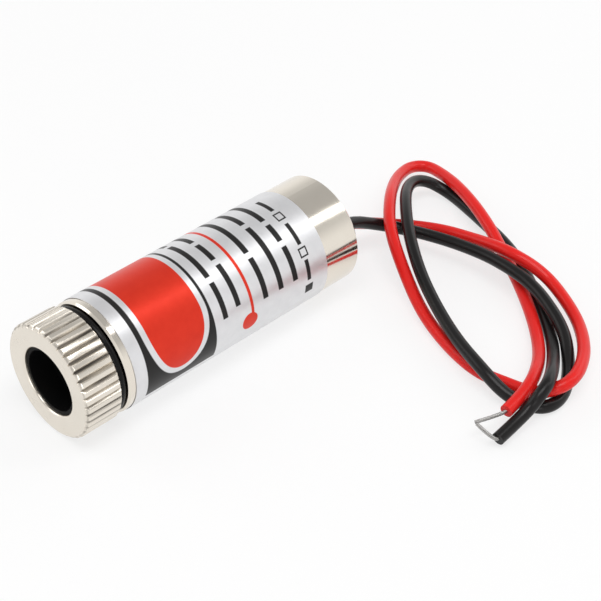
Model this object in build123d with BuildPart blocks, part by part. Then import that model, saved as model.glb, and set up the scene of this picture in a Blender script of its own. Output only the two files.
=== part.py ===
from build123d import *
import math
import os

os.makedirs("parts", exist_ok=True)

# A focusable laser diode module that lies on its side. The optical axis runs along Y, the beam
# leaves towards -Y, and the origin is on the floor under the middle of the module's length.
# Stations are distances behind the front face of the focusing head. All sizes are in millimetres.

# Clearances
FIT = 0.03
THREAD_CLEARANCE = 0.05
SEAT_GAP = 0.02

# Barrel
BARREL_DIAMETER = 12.0
BARREL_LENGTH = 30.9
BARREL_WALL = 0.8
BARREL_EDGE = 0.2
FRONT_WALL = 1.5
THREAD_LENGTH = 6.4

# Foil label round the barrel
LABEL_FRONT_MARGIN = 0.8
LABEL_REAR_MARGIN = 4.7
FOIL_THICKNESS = 0.05
GLUE_THICKNESS = 0.03
SEAM_GAP_ANGLE = 4.0
SEAM_DIRECTION = (-0.94, -0.34)

# Focusing head with its threaded neck
HEAD_LENGTH = 4.2
KNURL_PROUD = 0.1
KNURL_TEETH = 40
KNURL_DEPTH = 0.36
KNURL_GROOVE_WIDTH = 0.5
HEAD_CHAMFER = 0.3
APERTURE_CHAMFER = 0.15
NECK_LENGTH = 5.9
NECK_WALL = 0.8

# Rubber ring on the spigot between head and barrel
RING_GAP = 0.9
RING_INSET = 0.23
RING_FLAT_COUNT = 6

# Lens, its cell and its retaining ring
CELL_RECESS = 0.35
CELL_LENGTH = 7.0
CELL_WALL = 0.35
POCKET_WALL = 0.54
STOP_DEPTH = 2.5
STOP_THICKNESS = 0.4
STOP_LIP = 0.45
LENS_RIM = 1.6
LENS_DOME = 0.5
LENS_DOME_MARGIN = 0.15
RETAINER_THICKNESS = 1.0
RETAINER_WALL = 0.55
SPANNER_SLOT_WIDTH = 0.6
SPANNER_SLOT_DEPTH = 0.4

# Spring behind the neck
SPRING_SPACE = 4.0
SPRING_WIRE = 0.45
SPRING_FLAT_COUNT = 4
SPRING_PLAY = 0.1
SPRING_TURNS = 3

# Diode holder
HOLDER_LENGTH = 4.0
HOLDER_EDGE = 0.3
PIN_HOLE_DIAMETER = 3.2

# Laser diode in its can
STEM_DIAMETER = 5.6
STEM_THICKNESS = 1.2
POST_WIDTH = 1.3
POST_DEPTH = 1.1
POST_LENGTH = 1.25
CAP_DIAMETER = 4.4
CAP_HEIGHT = 2.3
CAP_WALL = 0.2
WINDOW_HOLE = 1.6
WINDOW_DIAMETER = 3.0
WINDOW_THICKNESS = 0.25
CHIP_WIDTH = 0.3
CHIP_LENGTH = 0.3
CHIP_THICKNESS = 0.1
PIN_DIAMETER = 0.45
PIN_FLAT_COUNT = 8
PIN_SPREAD = 1.0
PIN_FRONT_LENGTH = 0.8
SEAL_DIAMETER = 1.0

# Driver board and what is soldered to it
BOARD_LENGTH = 10.4
BOARD_WIDTH = 7.0
BOARD_THICKNESS = 0.5
BOARD_GAP = 0.6
PIN_OVERLAP = 2.2
PIN_JOINT_INSET = 1.3
JOINT_LENGTH = 1.3
JOINT_WIDTH = 0.9
JOINT_HEIGHT = 0.55
JOINT_TAPER = 18
TRANSISTOR_LENGTH = 2.9
TRANSISTOR_WIDTH = 1.3
TRANSISTOR_HEIGHT = 0.9
TRANSISTOR_TAPER = 4
TRANSISTOR_STANDOFF = 0.1
TRANSISTOR_LEG_WIDTH = 0.42
TRANSISTOR_LEG_REACH = 0.5
TRANSISTOR_LEG_HEIGHT = 0.4
TRANSISTOR_LEG_PITCH = 1.9
TRANSISTOR_INSET = 3.5
TRANSISTOR_SPREAD = 1.75
CHIP_PART_SETBACK = 3.0
RESISTOR_LENGTH = 2.0
RESISTOR_WIDTH = 1.25
RESISTOR_HEIGHT = 0.5
RESISTOR_SPREAD = 2.6
CAPACITOR_LENGTH = 3.2
CAPACITOR_WIDTH = 1.6
CAPACITOR_HEIGHT = 1.1

# Potting that closes the barrel's rear end
PLUG_LENGTH = 2.4
PLUG_RECESS = 0.6

# Leads and their bare ends
LEAD_DIAMETER = 1.35
LEAD_FLAT_COUNT = 6
LEAD_SPREAD = 0.65
LEAD_SETBACK = 0.6
LEAD_STRAIGHT = 2.4
CORNER_SHARE = 0.45
CONDUCTOR_DIAMETER = 0.4
ROOT_LENGTH = 1.7
ROOT_JOINT_INSET = 1.0
TIP_STUB = 0.5
TIP_BEND = 0.35

# Each lead's way over the floor, chosen by hand: x, distance behind the barrel's rear face, height
RED_WAY = [
    (-0.8, 10.0, 2.2), (5.2, 13.4, 2.2), (10.6, 15.3, 2.3), (16.2, 15.9, 2.4), (21.4, 14.6, 2.4),
    (26.4, 12.0, 1.9), (29.9, 8.8, 2.3), (31.0, 5.2, 2.6), (30.1, 2.0, 0.8), (27.0, -0.2, 0.7),
    (23.2, -0.7, 0.7), (18.6, 0.1, 0.7), (13.4, 2.5, 0.8), (8.4, 5.0, 2.6), (3.5, 7.4, 4.2),
    (-0.5, 11.6, 4.2), (-3.9, 15.4, 2.4), (-5.9, 18.3, 1.1), (-6.8, 21.3, 0.7), (-5.6, 24.0, 0.7),
    (-2.6, 24.8, 0.7), (1.6, 23.1, 1.7), (5.4, 20.9, 2.5), (9.2, 18.2, 1.8), (12.9, 15.5, 0.7),
    (17.3, 12.5, 0.7), (21.8, 9.0, 0.7), (26.0, 5.5, 1.0), (28.8, 1.6, 2.5), (30.2, -2.1, 2.3),
    (29.9, -4.2, 1.5),
]
BLACK_WAY = [
    (1.4, 8.6, 2.2), (6.4, 11.8, 2.2), (11.6, 13.4, 2.3), (17.2, 13.7, 2.3), (22.2, 11.8, 2.3),
    (26.6, 9.4, 1.2), (30.2, 6.4, 0.7), (32.2, 2.6, 0.7), (31.2, -1.0, 0.7), (27.8, -2.2, 0.7),
    (24.2, -1.1, 2.4), (20.0, 0.8, 2.3), (15.4, 3.3, 0.9), (10.0, 5.9, 1.8), (5.2, 8.3, 4.1),
    (1.0, 12.7, 4.1), (-2.1, 16.2, 2.3), (-3.9, 18.6, 1.0), (-3.8, 21.0, 0.7), (-1.9, 22.3, 0.7),
    (1.0, 21.6, 0.7), (4.8, 20.3, 0.7), (9.4, 19.7, 0.7), (13.6, 17.7, 0.7), (17.1, 14.9, 0.7),
    (21.5, 11.7, 0.7), (25.6, 8.2, 1.0), (28.3, 4.8, 2.5), (31.0, 0.6, 3.0), (32.2, -4.0, 2.2),
    (31.6, -7.2, 1.2),
]
RED_TIP_END = (28.3, -5.9, 0.8)
BLACK_TIP_END = (28.3, -6.5, 0.7)

# Stations and radii that follow from the sizes above
LIP = HEAD_LENGTH + RING_GAP
REAR = LIP + BARREL_LENGTH
BARREL_RADIUS = BARREL_DIAMETER / 2
THREAD_RADIUS = BARREL_RADIUS - FRONT_WALL
REAR_BORE = BARREL_RADIUS - BARREL_WALL
THREAD_END = LIP + THREAD_LENGTH
NECK_END = LIP + NECK_LENGTH
NECK_RADIUS = THREAD_RADIUS - THREAD_CLEARANCE
KNURL_RADIUS = BARREL_RADIUS + KNURL_PROUD
APERTURE_RADIUS = NECK_RADIUS - NECK_WALL
HOLDER_FRONT = NECK_END + SPRING_SPACE
HOLDER_REAR = HOLDER_FRONT + HOLDER_LENGTH
STEM_FRONT = HOLDER_FRONT + SEAT_GAP
STEM_REAR = STEM_FRONT + STEM_THICKNESS
BOARD_FRONT = HOLDER_REAR + BOARD_GAP
BOARD_REAR = BOARD_FRONT + BOARD_LENGTH
PIN_END = BOARD_FRONT + PIN_OVERLAP
PIN_RADIUS = PIN_DIAMETER / 2
PLUG_REAR = REAR - PLUG_RECESS
PLUG_FRONT = PLUG_REAR - PLUG_LENGTH
AXIS_HEIGHT = KNURL_RADIUS
FRONT_Y = -REAR / 2

# Heights above the optical axis: two pins lie on the board, the third one under it
BOARD_TOP = -PIN_RADIUS - SEAT_GAP
BOARD_BOTTOM = BOARD_TOP - BOARD_THICKNESS
LOWER_PIN = BOARD_BOTTOM - SEAT_GAP - PIN_RADIUS

# The leads start behind the board, black above it and red under it, and run straight out of the rear
CONDUCTOR_RADIUS = CONDUCTOR_DIAMETER / 2
LEAD_RADIUS = LEAD_DIAMETER / 2
REAR_Y = FRONT_Y + REAR
LEAD_START = FRONT_Y + BOARD_REAR + LEAD_SETBACK
RED_HEIGHT = AXIS_HEIGHT + BOARD_BOTTOM - SEAT_GAP - CONDUCTOR_RADIUS
BLACK_HEIGHT = AXIS_HEIGHT + BOARD_TOP + SEAT_GAP + CONDUCTOR_RADIUS

OPTICAL_AXIS = Axis((0, FRONT_Y, AXIS_HEIGHT), (0, 1, 0))

# A half section through the axis: station along x, radius along y
HALF_SECTION = Plane(origin=(0, FRONT_Y, AXIS_HEIGHT), x_dir=(0, 1, 0), z_dir=(1, 0, 0))


def cross_section(station):
    """Plane across the axis that faces the front: +x to the right and +y up, seen along +Y."""
    return Plane(origin=(0, FRONT_Y + station, AXIS_HEIGHT), x_dir=(1, 0, 0), z_dir=(0, -1, 0))


def board_face(height):
    """Level plane on the driver board, with x across the board and stations counted along Y."""
    return Plane.XY.offset(AXIS_HEIGHT + height).move(Location((0, FRONT_Y, 0)))


def behind_rear(point):
    """A point given by its distance behind the barrel's rear face."""
    return (point[0], REAR_Y + point[1], point[2])


def lead_route(x, height, way):
    """A lead's corners: straight out of the barrel's rear, then its way over the floor."""
    straight = [(x, LEAD_START, height), (x, REAR_Y + LEAD_STRAIGHT, height)]
    return straight + [behind_rear(point) for point in way]


def corner_radii(route):
    """Radius at each corner of a lead, whose arc takes a fixed share of the shorter run beside it."""
    radii = []
    for before, corner, after in zip(route, route[1:], route[2:]):
        run_in = Vector(corner) - Vector(before)
        run_out = Vector(after) - Vector(corner)
        half_turn = math.radians(run_in.get_angle(run_out)) / 2
        radii.append(CORNER_SHARE * min(run_in.length, run_out.length) / math.tan(half_turn))
    return radii


def tip_route(route, tip_end):
    """A bare end: straight out of the insulation for a short stub, then bent towards tip_end."""
    end = Vector(route[-1])
    heading = (end - Vector(route[-2])).normalized()
    return [end, end + heading * TIP_STUB, Vector(behind_rear(tip_end))]


def finish(piece, label):
    """Name a finished piece and write it to its own file."""
    piece.part.label = label
    export_step(piece.part, f"parts/{label}.step")


# Barrel: threaded bore in front, wider bore behind for the diode and its driver
with BuildPart() as barrel:
    with BuildSketch(HALF_SECTION):
        with BuildLine():
            Polyline(
                (LIP, THREAD_RADIUS + BARREL_EDGE),
                (LIP, BARREL_RADIUS - BARREL_EDGE),
                (LIP + BARREL_EDGE, BARREL_RADIUS),
                (REAR - BARREL_EDGE, BARREL_RADIUS),
                (REAR, BARREL_RADIUS - BARREL_EDGE),
                (REAR, REAR_BORE),
                (THREAD_END, REAR_BORE),
                (THREAD_END, THREAD_RADIUS),
                (LIP + BARREL_EDGE, THREAD_RADIUS),
                close=True,
            )
        make_face()
    revolve(axis=OPTICAL_AXIS)
finish(barrel, "barrel")

# Foil label: one turn of foil with a narrow seam on the side away from the lead loop
SEAM_PLANE = Plane(
    origin=(0, FRONT_Y, AXIS_HEIGHT),
    x_dir=(0, 1, 0),
    z_dir=(SEAM_DIRECTION[1], 0, -SEAM_DIRECTION[0]),
)
LABEL_FRONT = LIP + LABEL_FRONT_MARGIN
LABEL_REAR = REAR - LABEL_REAR_MARGIN
FOIL_INNER = BARREL_RADIUS + GLUE_THICKNESS
with BuildPart() as foil_label:
    with BuildSketch(SEAM_PLANE):
        with Locations((LABEL_FRONT, FOIL_INNER)):
            Rectangle(LABEL_REAR - LABEL_FRONT, FOIL_THICKNESS, align=(Align.MIN, Align.MIN))
    revolve(axis=OPTICAL_AXIS, revolution_arc=360 - SEAM_GAP_ANGLE)
finish(foil_label, "foil_label")

# Focusing head: knurled rim, spigot for the rubber ring and threaded neck, bored through
RING_SECTION = RING_GAP / 2 - SEAT_GAP
RING_RADIUS = BARREL_RADIUS - RING_INSET - RING_SECTION
SPIGOT_RADIUS = RING_RADIUS - RING_SECTION - FIT
SPIGOT_END = LIP - SEAT_GAP
with BuildPart() as focus_head:
    with BuildSketch(HALF_SECTION):
        with BuildLine():
            Polyline(
                (0, APERTURE_RADIUS + APERTURE_CHAMFER),
                (0, KNURL_RADIUS - HEAD_CHAMFER),
                (HEAD_CHAMFER, KNURL_RADIUS),
                (HEAD_LENGTH, KNURL_RADIUS),
                (HEAD_LENGTH, SPIGOT_RADIUS),
                (SPIGOT_END, SPIGOT_RADIUS),
                (SPIGOT_END, NECK_RADIUS),
                (NECK_END, NECK_RADIUS),
                (NECK_END, APERTURE_RADIUS),
                (APERTURE_CHAMFER, APERTURE_RADIUS),
                close=True,
            )
        make_face()
    revolve(axis=OPTICAL_AXIS)
    with BuildSketch(cross_section(0)):
        with PolarLocations(KNURL_RADIUS, KNURL_TEETH, start_angle=180 / KNURL_TEETH):
            Polygon(
                (-KNURL_DEPTH, 0),
                (KNURL_DEPTH, -KNURL_GROOVE_WIDTH),
                (KNURL_DEPTH, KNURL_GROOVE_WIDTH),
                align=None,
            )
    extrude(amount=-HEAD_LENGTH, mode=Mode.SUBTRACT)
finish(focus_head, "focus_head")

# Rubber ring, stretched over the spigot
with BuildPart() as focus_o_ring:
    with BuildSketch(HALF_SECTION):
        with Locations((HEAD_LENGTH + RING_GAP / 2, RING_RADIUS)):
            RegularPolygon(RING_SECTION, RING_FLAT_COUNT)
    revolve(axis=OPTICAL_AXIS)
finish(focus_o_ring, "focus_o_ring")

# Lens cell: a sleeve with an inner stop that the lens is pushed against from behind
CELL_RADIUS = APERTURE_RADIUS - FIT
CELL_FRONT = CELL_RECESS
CELL_REAR = CELL_FRONT + CELL_LENGTH
STOP_FRONT = CELL_FRONT + STOP_DEPTH
STOP_REAR = STOP_FRONT + STOP_THICKNESS
LENS_POCKET = CELL_RADIUS - POCKET_WALL
LENS_RADIUS = LENS_POCKET - FIT
STOP_RADIUS = LENS_RADIUS - STOP_LIP
with BuildPart() as lens_cell:
    with BuildSketch(HALF_SECTION):
        with BuildLine():
            Polyline(
                (CELL_FRONT, CELL_RADIUS - CELL_WALL),
                (CELL_FRONT, CELL_RADIUS),
                (CELL_REAR, CELL_RADIUS),
                (CELL_REAR, LENS_POCKET),
                (STOP_REAR, LENS_POCKET),
                (STOP_REAR, STOP_RADIUS),
                (STOP_FRONT, STOP_RADIUS),
                (STOP_FRONT, CELL_RADIUS - CELL_WALL),
                close=True,
            )
        make_face()
    revolve(axis=OPTICAL_AXIS)
finish(lens_cell, "lens_cell")

# Collimating lens: flat towards the diode, domed towards the aperture
LENS_FRONT = STOP_REAR + SEAT_GAP
LENS_REAR = LENS_FRONT + LENS_RIM
DOME_RADIUS = STOP_RADIUS - LENS_DOME_MARGIN
with BuildPart() as collimating_lens:
    with BuildSketch(HALF_SECTION):
        with BuildLine():
            SagittaArc((LENS_FRONT, -DOME_RADIUS), (LENS_FRONT, DOME_RADIUS), LENS_DOME)
            Polyline(
                (LENS_FRONT, DOME_RADIUS),
                (LENS_FRONT, LENS_RADIUS),
                (LENS_REAR, LENS_RADIUS),
                (LENS_REAR, -LENS_RADIUS),
                (LENS_FRONT, -LENS_RADIUS),
                (LENS_FRONT, -DOME_RADIUS),
            )
        make_face()
        split(bisect_by=Plane.XZ, keep=Keep.BOTTOM)
    revolve(axis=OPTICAL_AXIS)
finish(collimating_lens, "collimating_lens")

# Retaining ring behind the lens, with two slots for a spanner
RETAINER_FRONT = LENS_REAR + SEAT_GAP
RETAINER_REAR = RETAINER_FRONT + RETAINER_THICKNESS
with BuildPart() as lens_retaining_ring:
    with BuildSketch(cross_section(RETAINER_FRONT)):
        Circle(LENS_RADIUS)
        Circle(LENS_RADIUS - RETAINER_WALL, mode=Mode.SUBTRACT)
    extrude(amount=-RETAINER_THICKNESS)
    with BuildSketch(cross_section(RETAINER_REAR)):
        Rectangle(2 * LENS_RADIUS, SPANNER_SLOT_WIDTH)
    extrude(amount=SPANNER_SLOT_DEPTH, mode=Mode.SUBTRACT)
finish(lens_retaining_ring, "lens_retaining_ring")

# Spring between the neck and the diode holder
SPRING_RADIUS = NECK_RADIUS - SPRING_PLAY - SPRING_WIRE / 2
SPRING_START = NECK_END + SPRING_WIRE / 2 + SEAT_GAP
SPRING_RISE = SPRING_SPACE - SPRING_WIRE - 2 * SEAT_GAP
with BuildPart() as focus_spring:
    with BuildLine() as spring_line:
        Helix(
            pitch=SPRING_RISE / SPRING_TURNS,
            height=SPRING_RISE,
            radius=SPRING_RADIUS,
            center=(0, FRONT_Y + SPRING_START, AXIS_HEIGHT),
            direction=(0, 1, 0),
        )
    with BuildSketch(Plane(origin=spring_line.line @ 0, z_dir=spring_line.line % 0)):
        RegularPolygon(SPRING_WIRE / 2, SPRING_FLAT_COUNT)
    sweep(is_frenet=True)
finish(focus_spring, "focus_spring")

# Diode holder: a slug that fits the barrel, with a pocket for the stem and a hole for the pins
HOLDER_RADIUS = REAR_BORE - FIT
STEM_RADIUS = STEM_DIAMETER / 2
with BuildPart() as diode_holder:
    with BuildSketch(HALF_SECTION):
        with BuildLine():
            Polyline(
                (HOLDER_FRONT, STEM_RADIUS + FIT),
                (HOLDER_FRONT, HOLDER_RADIUS - HOLDER_EDGE),
                (HOLDER_FRONT + HOLDER_EDGE, HOLDER_RADIUS),
                (HOLDER_REAR, HOLDER_RADIUS),
                (HOLDER_REAR, PIN_HOLE_DIAMETER / 2),
                (STEM_REAR + SEAT_GAP, PIN_HOLE_DIAMETER / 2),
                (STEM_REAR + SEAT_GAP, STEM_RADIUS + FIT),
                close=True,
            )
        make_face()
    revolve(axis=OPTICAL_AXIS)
finish(diode_holder, "diode_holder")

# Diode stem: a disc with two sealed pin holes and a post that carries the chip
SEAL_RADIUS = SEAL_DIAMETER / 2
POST_TOP = -CHIP_THICKNESS / 2
with BuildPart() as diode_stem:
    with BuildSketch(cross_section(STEM_FRONT)):
        Circle(STEM_RADIUS)
        with Locations((-PIN_SPREAD, 0), (PIN_SPREAD, 0)):
            RegularPolygon(SEAL_RADIUS, PIN_FLAT_COUNT, mode=Mode.SUBTRACT)
    extrude(amount=-STEM_THICKNESS)
    with BuildSketch(cross_section(STEM_FRONT)):
        with Locations((0, POST_TOP)):
            Rectangle(POST_WIDTH, POST_DEPTH, align=(Align.CENTER, Align.MAX))
        with Locations((-PIN_SPREAD, 0), (PIN_SPREAD, 0)):
            RegularPolygon(SEAL_RADIUS, PIN_FLAT_COUNT, mode=Mode.SUBTRACT)
    extrude(amount=POST_LENGTH)
finish(diode_stem, "diode_stem")

# Laser chip at the front edge of the post
CHIP_FRONT = STEM_FRONT - POST_LENGTH
with BuildPart() as diode_chip:
    with BuildSketch(cross_section(CHIP_FRONT)):
        with Locations((0, POST_TOP)):
            Rectangle(CHIP_WIDTH, CHIP_THICKNESS, align=(Align.CENTER, Align.MIN))
    extrude(amount=-CHIP_LENGTH)
finish(diode_chip, "diode_chip")

# Diode cap: a drawn can with a window hole
CAP_RADIUS = CAP_DIAMETER / 2
CAP_FRONT = STEM_FRONT - CAP_HEIGHT
with BuildPart() as diode_cap:
    with BuildSketch(HALF_SECTION):
        with BuildLine():
            Polyline(
                (CAP_FRONT, WINDOW_HOLE / 2),
                (CAP_FRONT, CAP_RADIUS),
                (STEM_FRONT, CAP_RADIUS),
                (STEM_FRONT, CAP_RADIUS - CAP_WALL),
                (CAP_FRONT + CAP_WALL, CAP_RADIUS - CAP_WALL),
                (CAP_FRONT + CAP_WALL, WINDOW_HOLE / 2),
                close=True,
            )
        make_face()
    revolve(axis=OPTICAL_AXIS)
finish(diode_cap, "diode_cap")

# Glass window behind the cap's hole
with BuildPart() as diode_window:
    with BuildSketch(cross_section(CAP_FRONT + CAP_WALL + SEAT_GAP)):
        Circle(WINDOW_DIAMETER / 2)
    extrude(amount=-WINDOW_THICKNESS)
finish(diode_window, "diode_window")

# Three diode pins: two pass through the stem, the third is welded to its back
with BuildPart() as diode_pins:
    with BuildSketch(cross_section(STEM_FRONT - PIN_FRONT_LENGTH)):
        with Locations((-PIN_SPREAD, 0), (PIN_SPREAD, 0)):
            RegularPolygon(PIN_RADIUS, PIN_FLAT_COUNT)
    extrude(amount=-(PIN_END - STEM_FRONT + PIN_FRONT_LENGTH))
    with BuildSketch(cross_section(STEM_REAR)):
        with Locations((0, LOWER_PIN)):
            RegularPolygon(PIN_RADIUS, PIN_FLAT_COUNT)
    extrude(amount=-(PIN_END - STEM_REAR))
finish(diode_pins, "diode_pins")

# Glass seals round the two insulated pins
with BuildPart() as pin_seals:
    with BuildSketch(cross_section(STEM_FRONT)):
        with Locations((-PIN_SPREAD, 0), (PIN_SPREAD, 0)):
            RegularPolygon(SEAL_RADIUS - SEAT_GAP / 2, PIN_FLAT_COUNT)
            RegularPolygon(PIN_RADIUS + SEAT_GAP / 2, PIN_FLAT_COUNT, mode=Mode.SUBTRACT)
    extrude(amount=-STEM_THICKNESS)
finish(pin_seals, "pin_seals")

# Driver board between the pins
with BuildPart() as driver_board:
    with BuildSketch(board_face(BOARD_BOTTOM)):
        with Locations((0, BOARD_FRONT)):
            Rectangle(BOARD_WIDTH, BOARD_LENGTH, align=(Align.CENTER, Align.MIN))
    extrude(amount=BOARD_THICKNESS)
finish(driver_board, "driver_board")

# Two transistors in moulded cases that lie across the board, each with three legs
TRANSISTOR_STATION = BOARD_FRONT + TRANSISTOR_INSET
TRANSISTOR_SPOTS = [(-TRANSISTOR_SPREAD, TRANSISTOR_STATION), (TRANSISTOR_SPREAD, TRANSISTOR_STATION)]
LEG_SPAN = TRANSISTOR_WIDTH / 2 + TRANSISTOR_LEG_REACH
LEG_OFFSETS = [
    (-TRANSISTOR_LEG_PITCH / 2, -LEG_SPAN / 2),
    (TRANSISTOR_LEG_PITCH / 2, -LEG_SPAN / 2),
    (0, LEG_SPAN / 2),
]
with BuildPart() as driver_transistors:
    with BuildSketch(board_face(BOARD_TOP + TRANSISTOR_STANDOFF)):
        with Locations(*TRANSISTOR_SPOTS):
            Rectangle(TRANSISTOR_LENGTH, TRANSISTOR_WIDTH)
    extrude(amount=TRANSISTOR_HEIGHT, taper=TRANSISTOR_TAPER)
    with BuildSketch(board_face(BOARD_TOP)):
        for spot_x, spot_station in TRANSISTOR_SPOTS:
            for leg_x, leg_station in LEG_OFFSETS:
                with Locations((spot_x + leg_x, spot_station + leg_station)):
                    Rectangle(TRANSISTOR_LEG_WIDTH, LEG_SPAN)
    extrude(amount=TRANSISTOR_LEG_HEIGHT)
finish(driver_transistors, "driver_transistors")

# Three chip resistors: two on the board and one under it
CHIP_PART_STATION = BOARD_REAR - CHIP_PART_SETBACK
with BuildPart() as driver_resistors:
    with BuildSketch(board_face(BOARD_TOP)):
        with Locations((-RESISTOR_SPREAD, CHIP_PART_STATION), (RESISTOR_SPREAD, CHIP_PART_STATION)):
            Rectangle(RESISTOR_WIDTH, RESISTOR_LENGTH)
    extrude(amount=RESISTOR_HEIGHT)
    with BuildSketch(board_face(BOARD_BOTTOM)):
        with Locations((0, TRANSISTOR_STATION)):
            Rectangle(RESISTOR_WIDTH, RESISTOR_LENGTH)
    extrude(amount=-RESISTOR_HEIGHT)
finish(driver_resistors, "driver_resistors")

# One chip capacitor
with BuildPart() as driver_capacitor:
    with BuildSketch(board_face(BOARD_TOP)):
        with Locations((0, CHIP_PART_STATION)):
            Rectangle(CAPACITOR_LENGTH, CAPACITOR_WIDTH)
    extrude(amount=CAPACITOR_HEIGHT)
finish(driver_capacitor, "driver_capacitor")

# Bare inner ends of the leads, one on each face of the board
RED_ROUTE = lead_route(-LEAD_SPREAD, RED_HEIGHT, RED_WAY)
BLACK_ROUTE = lead_route(LEAD_SPREAD, BLACK_HEIGHT, BLACK_WAY)
with BuildPart() as lead_roots:
    for route in (RED_ROUTE, BLACK_ROUTE):
        with BuildSketch(Plane(origin=route[0], x_dir=(1, 0, 0), z_dir=(0, -1, 0))):
            RegularPolygon(CONDUCTOR_RADIUS, LEAD_FLAT_COUNT)
        extrude(amount=ROOT_LENGTH)
finish(lead_roots, "lead_roots")

# Solder joints at the three pins and at both leads, each notched for what it holds
PIN_JOINT_STATION = BOARD_FRONT + PIN_JOINT_INSET
ROOT_JOINT_STATION = BOARD_REAR - ROOT_JOINT_INSET
TOP_JOINTS = [
    (-PIN_SPREAD, PIN_JOINT_STATION),
    (PIN_SPREAD, PIN_JOINT_STATION),
    (LEAD_SPREAD, ROOT_JOINT_STATION),
]
BOTTOM_JOINTS = [(0, PIN_JOINT_STATION), (-LEAD_SPREAD, ROOT_JOINT_STATION)]
with BuildPart() as solder_joints:
    with BuildSketch(board_face(BOARD_TOP)):
        with Locations(*TOP_JOINTS):
            Rectangle(JOINT_WIDTH, JOINT_LENGTH)
    extrude(amount=JOINT_HEIGHT, taper=JOINT_TAPER)
    with BuildSketch(board_face(BOARD_BOTTOM)):
        with Locations(*BOTTOM_JOINTS):
            Rectangle(JOINT_WIDTH, JOINT_LENGTH)
    extrude(amount=-JOINT_HEIGHT, taper=JOINT_TAPER)
    with BuildSketch(cross_section(BOARD_FRONT)):
        with Locations((-PIN_SPREAD, 0), (PIN_SPREAD, 0), (0, LOWER_PIN)):
            Rectangle(PIN_DIAMETER + SEAT_GAP, PIN_DIAMETER + 2 * SEAT_GAP)
    extrude(amount=-(PIN_END - BOARD_FRONT), mode=Mode.SUBTRACT)
    for route in (RED_ROUTE, BLACK_ROUTE):
        with BuildSketch(Plane(origin=route[0], x_dir=(1, 0, 0), z_dir=(0, -1, 0))):
            Rectangle(CONDUCTOR_DIAMETER + SEAT_GAP, CONDUCTOR_DIAMETER + 2 * SEAT_GAP)
        extrude(amount=ROOT_LENGTH, mode=Mode.SUBTRACT)
finish(solder_joints, "solder_joints")

# Rear plug: potting that closes the bore, with a hole for each lead
PLUG_RADIUS = REAR_BORE - FIT
with BuildPart() as rear_plug:
    with BuildSketch(cross_section(PLUG_FRONT)):
        Circle(PLUG_RADIUS)
        with Locations((-LEAD_SPREAD, RED_HEIGHT - AXIS_HEIGHT), (LEAD_SPREAD, BLACK_HEIGHT - AXIS_HEIGHT)):
            Circle(LEAD_RADIUS + FIT, mode=Mode.SUBTRACT)
    extrude(amount=-PLUG_LENGTH)
finish(rear_plug, "rear_plug")

# The two leads, each one tube of straight runs and tangent arcs, and their bare ends
LEADS = [("red_lead", RED_ROUTE, RED_TIP_END), ("black_lead", BLACK_ROUTE, BLACK_TIP_END)]
for lead_name, route, tip_end in LEADS:
    radii = corner_radii(route)
    with BuildPart() as lead:
        with BuildLine() as lead_line:
            FilletPolyline(*route, radius=radii)
        with BuildSketch(Plane(origin=lead_line.line @ 0, z_dir=lead_line.line % 0)) as lead_section:
            RegularPolygon(LEAD_RADIUS, LEAD_FLAT_COUNT)
        sweep()
    finish(lead, lead_name)
    with BuildPart() as lead_tip:
        with BuildLine() as tip_line:
            FilletPolyline(*tip_route(route, tip_end), radius=TIP_BEND)
        with BuildSketch(Plane(origin=tip_line.line @ 0, z_dir=tip_line.line % 0)):
            RegularPolygon(CONDUCTOR_RADIUS, LEAD_FLAT_COUNT)
        sweep()
    finish(lead_tip, f"{lead_name}_tip")
    length = lead_line.wire().length
    section = lead_section.sketch.area
    print(lead_name, "corner radii", [round(radius, 1) for radius in radii])
    print(lead_name, "length", round(length, 1), "volume over section", round(lead.part.volume / section, 1))
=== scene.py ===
# %% [markdown]
# # A laser diode module on a studio table
# The real object is a plated brass barrel, 12 mm across, with a knurled focusing head screwed into
# its front, a silver foil label round it, and two thin leads that come out of the potted rear end.
# The solids come from the packed CAD model and stay where they are. This lesson gives each of them
# its finish, and remakes the few pieces whose look needs more than a plain solid.

# %% Load the solids
import math

import bmesh
import bpy
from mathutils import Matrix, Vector, noise


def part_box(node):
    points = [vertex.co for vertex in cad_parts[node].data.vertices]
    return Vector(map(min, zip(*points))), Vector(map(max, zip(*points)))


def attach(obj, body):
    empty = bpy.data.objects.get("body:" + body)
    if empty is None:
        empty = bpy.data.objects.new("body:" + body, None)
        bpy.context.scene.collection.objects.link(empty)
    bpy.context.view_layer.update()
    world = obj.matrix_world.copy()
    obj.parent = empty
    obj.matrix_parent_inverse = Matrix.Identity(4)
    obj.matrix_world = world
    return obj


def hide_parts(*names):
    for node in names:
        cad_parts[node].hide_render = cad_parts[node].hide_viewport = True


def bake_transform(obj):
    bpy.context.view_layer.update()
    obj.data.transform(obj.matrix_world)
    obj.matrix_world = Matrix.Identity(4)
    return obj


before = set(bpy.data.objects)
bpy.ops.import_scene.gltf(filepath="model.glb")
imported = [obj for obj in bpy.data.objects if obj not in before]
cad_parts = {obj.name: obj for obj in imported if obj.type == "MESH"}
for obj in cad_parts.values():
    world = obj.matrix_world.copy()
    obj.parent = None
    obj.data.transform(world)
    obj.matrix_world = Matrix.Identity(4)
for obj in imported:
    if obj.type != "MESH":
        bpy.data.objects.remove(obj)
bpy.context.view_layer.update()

# %% [markdown]
# ## Where things are
# Everything turns round one optical axis, so most places are a station along that axis and a radius
# from it. The main ones are read from the boxes of a few solids, so that the looks follow a change to
# them. Small steps inside a piece don't show in its box, and are written down with that piece.

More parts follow.
